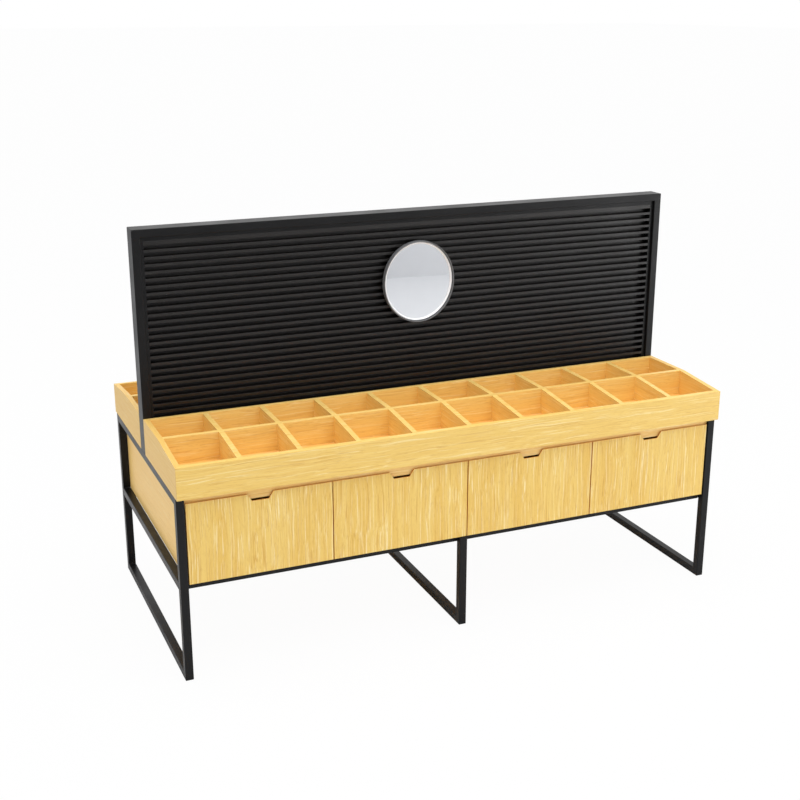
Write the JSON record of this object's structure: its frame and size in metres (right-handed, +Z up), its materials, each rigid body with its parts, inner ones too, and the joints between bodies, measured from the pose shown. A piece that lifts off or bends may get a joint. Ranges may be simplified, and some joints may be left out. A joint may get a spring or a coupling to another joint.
{
  "type": "display table with drawers",
  "caption": "Double-sided shop display table: steel leg frame, drawer rows on both long sides, compartment trays above and a slatted steel panel with an oval mirror.",
  "frame": {"origin": "on the floor under the middle of the table", "axes": "+X along the table's length to the viewer's right, +Y from the side with the mirror to the far side, +Z up"},
  "size_m": [2, 0.958, 1.391],
  "materials": {
    "black_powder_coat": "satin charcoal powder coat on steel tube and folded sheet",
    "oak_board": "pale yellow oak faced board with a satin lacquer",
    "carcass_board": "warm oak faced carcass board, satin",
    "beech": "planed and waxed hardwood strip",
    "mirror_silver": "silvered glass with a bevelled edge"
  },
  "bodies": {
    "table": {"left_end_frame": "black_powder_coat", "right_end_frame": "black_powder_coat", "centre_leg_frame": "black_powder_coat", "front_bottom_rail": "black_powder_coat", "rear_bottom_rail": "black_powder_coat", "base_board": "carcass_board", "left_end_panel": "oak_board", "right_end_panel": "oak_board", "left_partition": "carcass_board", "centre_partition": "carcass_board", "right_partition": "carcass_board", "front_left_fascia": "oak_board", "front_right_fascia": "oak_board", "rear_left_fascia": "oak_board", "rear_right_fascia": "oak_board", "top_board": "carcass_board", "front_tray_floor": "carcass_board", "front_tray_front_board": "oak_board", "front_tray_back_board": "oak_board", "front_tray_left_end": "oak_board", "front_tray_right_end": "oak_board", "front_tray_dividers": "oak_board", "rear_tray_floor": "carcass_board", "rear_tray_front_board": "oak_board", "rear_tray_back_board": "oak_board", "rear_tray_left_end": "oak_board", "rear_tray_right_end": "oak_board", "rear_tray_dividers": "oak_board", "panel_frame": "black_powder_coat", "slat_surround": "black_powder_coat", "slat_sheet": "black_powder_coat", "mirror_rim": "black_powder_coat", "mirror_glass": "mirror_silver", "mirror_hanger": "black_powder_coat", "bay_1_left_runner": "beech", "bay_1_right_runner": "beech", "bay_2_left_runner": "beech", "bay_2_right_runner": "beech", "bay_3_left_runner": "beech", "bay_3_right_runner": "beech", "bay_4_left_runner": "beech", "bay_4_right_runner": "beech"},
    "front_drawer_1": {"front_drawer_1_front": "oak_board", "front_drawer_1_box": "carcass_board"},
    "front_drawer_2": {"front_drawer_2_front": "oak_board", "front_drawer_2_box": "carcass_board"},
    "front_drawer_3": {"front_drawer_3_front": "oak_board", "front_drawer_3_box": "carcass_board"},
    "front_drawer_4": {"front_drawer_4_front": "oak_board", "front_drawer_4_box": "carcass_board"},
    "rear_drawer_1": {"rear_drawer_1_front": "oak_board", "rear_drawer_1_box": "carcass_board"},
    "rear_drawer_2": {"rear_drawer_2_front": "oak_board", "rear_drawer_2_box": "carcass_board"},
    "rear_drawer_3": {"rear_drawer_3_front": "oak_board", "rear_drawer_3_box": "carcass_board"},
    "rear_drawer_4": {"rear_drawer_4_front": "oak_board", "rear_drawer_4_box": "carcass_board"}
  },
  "joints": [
    {"name": "front_drawer_1_slide", "type": "slide", "parent": "table", "child": "front_drawer_1", "axis": [0, -1, 0], "range_m": [0, 0.3]},
    {"name": "front_drawer_2_slide", "type": "slide", "parent": "table", "child": "front_drawer_2", "axis": [0, -1, 0], "range_m": [0, 0.3]},
    {"name": "front_drawer_3_slide", "type": "slide", "parent": "table", "child": "front_drawer_3", "axis": [0, -1, 0], "range_m": [0, 0.3]},
    {"name": "front_drawer_4_slide", "type": "slide", "parent": "table", "child": "front_drawer_4", "axis": [0, -1, 0], "range_m": [0, 0.3]},
    {"name": "rear_drawer_1_slide", "type": "slide", "parent": "table", "child": "rear_drawer_1", "axis": [0, 1, 0], "range_m": [0, 0.3]},
    {"name": "rear_drawer_2_slide", "type": "slide", "parent": "table", "child": "rear_drawer_2", "axis": [0, 1, 0], "range_m": [0, 0.3]},
    {"name": "rear_drawer_3_slide", "type": "slide", "parent": "table", "child": "rear_drawer_3", "axis": [0, 1, 0], "range_m": [0, 0.3]},
    {"name": "rear_drawer_4_slide", "type": "slide", "parent": "table", "child": "rear_drawer_4", "axis": [0, 1, 0], "range_m": [0, 0.3]}
  ]
}
